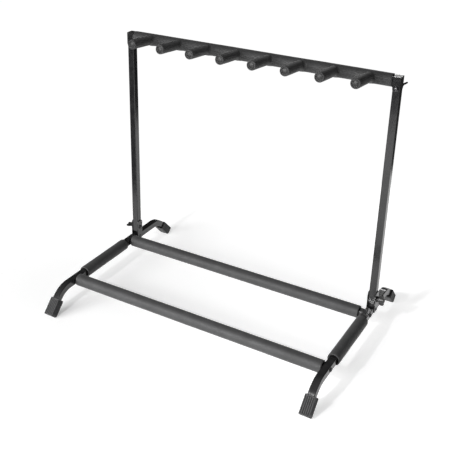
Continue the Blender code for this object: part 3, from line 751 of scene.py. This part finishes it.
def foot_caps():
    """Ribbed rubber caps: soft-edged, hollow for the tube and cut flat where they stand."""
    low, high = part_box("right_rear_foot")
    width = (high.x - low.x) / 2.0
    sine, cosine = math.sin(FOOT_TILT), math.cos(FOOT_TILT)
    corner_y = high.y - FOOT_THICK * sine
    cut_height = FOOT_LENGTH * sine + FOOT_THICK * cosine - high.z
    middle = FOOT_THICK / 2.0
    bore = TUBE / 2.0 + 0.0004
    front_pitch, front_half, front_depth, front_reach = 0.0052, 0.00165, 0.0018, 0.0127
    side_pitch, side_half, side_depth, side_reach = 0.0045, 0.00125, 0.0017, 0.0107
    end_rim, side_rim = 0.0030, 0.0080      # plain band at a groove's ends
    flank = 0.45                            # slope of a groove's flanks
    groove_end, groove_lip = 0.0010, 0.0005
    corner, end_lip, cut_lip, room_corner, mouth_lip = 0.0030, 0.0022, 0.0012, 0.0020, 0.0010
    margin, cell = 0.0016, 0.00056

    def grooves(along, into, pitch, half_width, depth, reach, ends):
        """V-shaped grooves, pitch apart; into is the depth below the face."""
        groove = np.abs(np.mod(along / pitch + 0.5, 1.0) - 0.5) * pitch
        groove = np.maximum(groove + flank * into - half_width, np.abs(along) - reach)
        groove = smooth_max(groove, into - depth, CRISP)
        return smooth_max(groove, ends, groove_end)

    def field(x, out, up):
        across = out - middle
        body = smooth_max(np.abs(x) - width, np.abs(across) - middle, corner)
        body = smooth_max(body, np.abs(up - FOOT_LENGTH / 2.0) - FOOT_LENGTH / 2.0, end_lip)
        body = smooth_max(body, cut_height - up * sine - out * cosine, cut_lip)
        room = smooth_max(np.abs(x) - bore, np.abs(across) - bore, room_corner)
        body = smooth_max(body, -smooth_max(room, FOOT_FLOOR - up, CRISP), mouth_lip)
        top = up - FOOT_LENGTH
        ends = np.maximum(-up, top) + end_rim
        groove = grooves(
            x, FOOT_THICK - out, front_pitch, front_half, front_depth, front_reach, ends)
        body = smooth_max(body, -groove, groove_lip)
        # the side grooves stop short of the slanting cut
        ends = ends + (side_rim - end_rim) * (up < 0.02)
        groove = grooves(
            across, width - np.abs(x), side_pitch, side_half, side_depth, side_reach, ends)
        return smooth_max(body, -groove, groove_lip)

    start = (-width - margin, -margin, -margin)
    end = (width + margin, FOOT_THICK + margin, FOOT_LENGTH + margin)
    shape = implicit("foot_cap", field, start, end, cell)
    lean = Matrix((
        (1.0, 0.0, 0.0, 0.0),
        (0.0, sine, -cosine, corner_y),
        (0.0, cosine, sine, -cut_height),
        (0.0, 0.0, 0.0, 1.0),
    ))
    for side in ("left", "right"):
        for end_name, turn in (("rear", 0.0), ("front", math.pi)):
            node = f"{side}_{end_name}_foot"
            mesh = shape.copy()
            shift = Matrix.Translation((centre_of(node).x, 0.0, 0.0))
            mesh.transform(shift @ Matrix.Rotation(turn, 4, "Z") @ lean)
            add_piece(node + "_cap", mesh, RUBBER, "base", "rubber", node)


def screw(name, node, direction):
    """Dome-headed screw with a hexagon socket; direction points out of its head."""
    tip_radius, tip_chamfer = 0.0022, 0.0008
    rim, rim_chamfer, dome_steps = 0.0008, 0.0003, 12
    socket_radius, socket_depth, socket_dip, above = 0.0026, 0.0022, 0.0002, 0.001
    low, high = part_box(node)
    out = Vector(direction)
    axis = max(range(3), key=lambda i: abs(out[i]))
    across = (axis + 1) % 3
    radius = (high[across] - low[across]) / 2.0
    length = high[axis] - low[axis]
    # a larger head is a little higher
    head = 0.0038 if radius > 0.0068 else 0.0036 if radius > 0.0062 else 0.0034
    origin = centre_of(node)
    origin[axis] = high[axis] if out[axis] > 0 else low[axis]
    profile = [
        (0.0, -length), (tip_radius, -length), (SCREW_SHANK, -length + tip_chamfer),
        (SCREW_SHANK, -head), (radius - rim_chamfer, -head), (radius, -head + rim_chamfer),
        (radius, -head + rim),
    ]
    for i in range(1, dome_steps):
        a = QUARTER * i / dome_steps
        profile.append((radius * math.cos(a), -head + rim + (head - rim) * math.sin(a)))
    profile.append((0.0, 0.0))
    body = turned(name, profile, Matrix.Identity(4))
    room = [
        (0.0, -socket_depth), (socket_radius, socket_dip - socket_depth),
        (socket_radius, above), (0.0, above),
    ]
    mesh = cut_from(body, turned("socket", room, Matrix.Identity(4), 6))
    mesh.transform(facing(out, origin))
    mesh.set_sharp_from_angle(angle=math.radians(38.0))
    add_piece(name, mesh, STEEL, body_of(node), "dark_steel", node)


def rivet(side):
    """Cross rivet of a pivot bracket, with a low dome at both ends."""
    dome, dome_steps = 0.0016, 8
    node = side + "_bracket_rivet"
    low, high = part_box(node)
    half = (high.x - low.x) / 2.0
    radius = (high.z - low.z) / 2.0
    cap = []
    for i in range(dome_steps):
        a = QUARTER * i / dome_steps
        cap.append((radius * math.cos(a), half - dome + dome * math.sin(a)))
    cap.append((0.0, half))
    shank = [(SCREW_SHANK, -half + dome), (SCREW_SHANK, half - dome)]
    profile = [(r, -z) for r, z in reversed(cap)] + shank + cap
    mesh = turned(node + "_fine", profile, facing((1.0, 0.0, 0.0), centre_of(node)))
    mesh.set_sharp_from_angle(angle=ROUND_ANGLE)
    add_piece(node + "_fine", mesh, STEEL, "base", "dark_steel", node)


def peg_plug(number):
    """Round plastic plug in a peg's end: a rim, a shallow groove and a low dome."""
    depth, stem, flange = 0.0114, 0.0042, 0.0036
    dome_inset, dome_depth, dome_rings, sides = 0.0026, 0.00095, 7, 56
    node = f"peg_plug_{number}"
    low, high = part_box(node)
    radius = (high.x - low.x) / 2.0
    face, out = peg_line()
    origin = Vector((centre_of(node).x, face.y, face.z))
    profile = [
        (0.0, -depth), (stem - 0.0002, -depth), (stem, -depth + 0.0006), (stem, -flange),
        (radius - 0.0004, -flange), (radius, -flange + 0.0004), (radius, -0.0016),
        (radius - 0.0002, -0.0011), (radius - 0.0007, -0.0009), (radius - 0.0013, -0.0010),
        (radius - 0.0017, -0.0013), (radius - 0.0022, -0.0012),
    ]
    for i in range(dome_rings + 1):
        share = 1.0 - i / dome_rings
        profile.append(((radius - dome_inset) * share, -dome_depth * share ** 2))
    mesh = turned(node + "_fine", profile, facing(out, origin), sides)
    mesh.set_sharp_from_angle(angle=ROUND_ANGLE)
    add_piece(node + "_fine", mesh, PLUG, "upper_frame", "black_plastic", node)


for side, sign in (("left", -1.0), ("right", 1.0)):
    screw(side + "_pivot_screw", side + "_pivot_bolt", (-sign, 0.0, 0.0))
    screw(side + "_front_bar_screw", side + "_front_bar_bolt", (sign, 0.0, 0.0))
    screw(side + "_rear_bar_screw", side + "_rear_bar_bolt", (sign, 0.0, 0.0))
    screw(side + "_corner_screw", side + "_corner_bolt", (0.0, -1.0, 0.0))
    rivet(side)
for number in range(1, 9):
    peg_plug(number)
foot_caps()


def knob(node, axis, direction, turn):
    """Moulded wing knob: two rounded lobes that flow into a hub with a flange.

    It points out along an axis, and turn is the way that one of its lobes points.
    """
    span, tip, middle = 0.0200, 0.0076, 0.0122      # lobes: reach, radius, height
    hub_radius, hub_top_trim, hub_draft = 0.0064, 0.0002, 0.05
    flange_radius, flange_height = 0.0086, 0.0030
    waist_height, waist_reach = 0.0052, 0.0100
    wing_half, wing_draft, wing_root = 0.0019, 0.035, 0.012
    dimple_radius, dimple_rise = 0.0062, 0.0052
    hub_lip, flange_lip, wing_lip, dimple_lip = 0.0024, 0.0012, 0.0016, 0.0006
    hub_fillet, lobe_fillet, wing_fillet = 0.0016, 0.0030, 0.0032
    low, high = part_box(node)
    out = Vector((0.0, 0.0, 0.0))
    out[axis] = direction
    joint = next(j for j in frame["joints"] if j["child"] == body_of(node))
    seat = Vector(joint["pos_m"])
    seat[axis] = low[axis] if direction > 0 else high[axis]
    length = high[axis] - low[axis]

    def field(x, y, z):
        r = np.sqrt(x * x + y * y)
        hub_side = r - (hub_radius - hub_draft * np.maximum(z - 0.006, 0.0))
        hub = smooth_max(hub_side, z - (length - hub_top_trim), hub_lip)
        hub = smooth_max(hub, -z, CRISP)
        flange = smooth_max(r - flange_radius, z - flange_height, flange_lip)
        flange = smooth_max(flange, -z, CRISP)
        body = smooth_min(hub, flange, hub_fillet)
        u = np.maximum(np.abs(x) - (span - tip), -0.006)
        lobe = np.sqrt(u ** 2 + (z - middle) ** 2) - tip
        waist = np.maximum(np.abs(z - middle) - waist_height, np.abs(x) - waist_reach)
        plate = smooth_min(lobe, waist, lobe_fillet)
        thick = wing_half + wing_draft * np.maximum(wing_root - np.abs(x), 0.0)
        wing = smooth_max(plate, np.abs(y) - thick, wing_lip)
        body = smooth_min(body, wing, wing_fillet)
        dimple = np.sqrt(r * r + (z - length - dimple_rise) ** 2) - dimple_radius
        return smooth_max(body, -dimple, dimple_lip)

    x_size, y_size, z_margin, cell = span + 0.002, 0.0105, 0.0015, 0.00062
    start, end = (-x_size, -y_size, -z_margin), (x_size, y_size, length + z_margin)
    mesh = implicit(node + "_fine", field, start, end, cell)
    basis = Vector(turn).normalized()
    third = out.cross(basis)
    mesh.transform(Matrix((
        (basis.x, third.x, out.x, seat.x),
        (basis.y, third.y, out.y, seat.y),
        (basis.z, third.z, out.z, seat.z),
        (0.0, 0.0, 0.0, 1.0),
    )))
    add_piece(node + "_fine", mesh, PLASTIC, body_of(node), "black_plastic", node)


def wing_direction(degrees, first, second):
    angle = math.radians(degrees)
    return Vector(first) * math.cos(angle) + Vector(second) * math.sin(angle)


X, Y, Z = (1.0, 0.0, 0.0), (0.0, 1.0, 0.0), (0.0, 0.0, 1.0)
knob("left_base_knob", 0, -1.0, wing_direction(100.0, Z, Y))
knob("right_base_knob", 0, 1.0, wing_direction(-13.0, Z, Y))
knob("left_corner_knob", 1, 1.0, wing_direction(-25.0, X, Z))
knob("right_corner_knob", 1, 1.0, wing_direction(34.0, X, Z))


# ---------------------------------------------------------------- floor, light and camera
def floor():
    """Pale round sweep that glows like a light table, less near the front left.

    The tubes mirror that dimmer part, and the glow elsewhere keeps the paper white and its
    shadows faint. The back half is shorter, which keeps the uprights' right faces dark.
    """
    sides = 96
    centre_x, centre_y = 0.75, -0.05
    reach_x, reach_front, reach_back = 1.45, 1.85, 1.28
    dim_place = (-0.5, -0.75, 0.0)
    ring = []
    for i in range(sides):
        a = 2.0 * math.pi * i / sides
        reach_y = reach_front if math.sin(a) < 0.0 else reach_back
        ring.append((centre_x + reach_x * math.cos(a), centre_y + reach_y * math.sin(a), 0.0))
    mesh = mesh_from("floor", ring, [tuple(range(sides))])
    g = Graph("floor_paper", Emission_Color=(1.0, 1.0, 1.0, 1.0), Specular_IOR_Level=0.2)
    from_dim = g.distance(dim_place)
    glow = g.span(from_dim, 0.40, 1.15, 0.32, 0.585)
    glow = g.sum(glow, g.span(g.distance((0.0, 0.0, 0.0)), 0.45, 1.32, 0.0, 0.27))
    glow = g.sum(glow, g.span(from_dim, 1.02, 1.62, 0.0, 0.13))
    g.feed(g.shader.inputs["Emission Strength"], glow)
    rough = g.span(g.noise(9.0, 3.0), 0.3, 0.7, 0.80, 0.88)
    colour = g.mix(g.noise(2.0, 2.0), (0.70, 0.70, 0.70), (0.715, 0.715, 0.715))
    mesh.materials.append(g.done(colour, rough))
    obj = bpy.data.objects.new("floor", mesh)
    scene.collection.objects.link(obj)


def softbox(name, place, target, width, height, power, spread):
    data = bpy.data.lights.new(name, "AREA")
    data.shape = "RECTANGLE"
    data.size = width
    data.size_y = height
    data.energy = power
    data.spread = math.radians(spread)
    lamp = bpy.data.objects.new(name, data)
    lamp.location = place
    lamp.rotation_euler = (Vector(place) - Vector(target)).to_track_quat("Z", "Y").to_euler()
    lamp.visible_camera = False
    scene.collection.objects.link(lamp)


def lights():
    """A low broad key, a small lamp for the glints on bends, a faint one behind, a dim sky."""
    softbox(
        "key", place=(-1.0, -2.5, 0.95), target=(0.0, -0.1, 0.05),
        width=2.6, height=1.1, power=25.0, spread=75.0)
    softbox(
        "glint", place=(-0.42, -2.54, 1.84), target=(0.2, -0.2, 0.1),
        width=0.14, height=0.14, power=5.4, spread=70.0)
    softbox(
        "back", place=(-0.945, 4.74, 2.20), target=(0.3, 0.1, 0.7),
        width=0.9, height=0.5, power=1.5, spread=60.0)
    sky_low, sky_high, paper_white = 0.045, 0.31, 1.02
    bright_side = Vector((0.0, -0.5, 1.0)).normalized()
    world = bpy.data.worlds.new("studio")
    scene.world = world
    world.use_nodes = True
    tree = world.node_tree
    background = tree.nodes["Background"]
    place = tree.nodes.new("ShaderNodeTexCoord")
    towards = tree.nodes.new("ShaderNodeVectorMath")
    towards.operation = "DOT_PRODUCT"
    tree.links.new(place.outputs["Generated"], towards.inputs[0])
    towards.inputs[1].default_value = bright_side
    ramp = tree.nodes.new("ShaderNodeMapRange")
    ramp.interpolation_type = "SMOOTHSTEP"
    tree.links.new(towards.outputs["Value"], ramp.inputs["Value"])
    keys = ("From Min", "From Max", "To Min", "To Max")
    for key, number in zip(keys, (0.3, 1.0, sky_low, sky_high)):
        ramp.inputs[key].default_value = number
    # what the camera itself sees behind the object is plain white
    seen = tree.nodes.new("ShaderNodeLightPath")
    pick = tree.nodes.new("ShaderNodeMix")
    tree.links.new(seen.outputs["Is Camera Ray"], pick.inputs[0])
    tree.links.new(ramp.outputs["Result"], pick.inputs[2])
    pick.inputs[3].default_value = paper_white
    tree.links.new(pick.outputs[0], background.inputs["Strength"])
    background.inputs["Color"].default_value = (1.0, 1.0, 1.0, 1.0)


def camera():
    azimuth, elevation, distance = math.radians(32.17), math.radians(24.8), 2.312
    target = Vector((-0.1421, -0.0154, 0.3920))
    back = Vector((
        math.sin(azimuth) * math.cos(elevation),
        -math.cos(azimuth) * math.cos(elevation),
        math.sin(elevation),
    ))
    data = bpy.data.cameras.new("camera")
    data.lens = 64.85
    data.sensor_width = 36.0
    data.shift_x = 0.10
    data.shift_y = -0.10
    data.clip_end = 100.0
    obj = bpy.data.objects.new("camera", data)
    obj.location = target + back * distance
    obj.rotation_euler = back.to_track_quat("Z", "Y").to_euler()
    scene.collection.objects.link(obj)
    scene.camera = obj


floor()
lights()
camera()
scene.view_settings.view_transform = "Standard"

bpy.context.view_layer.update()
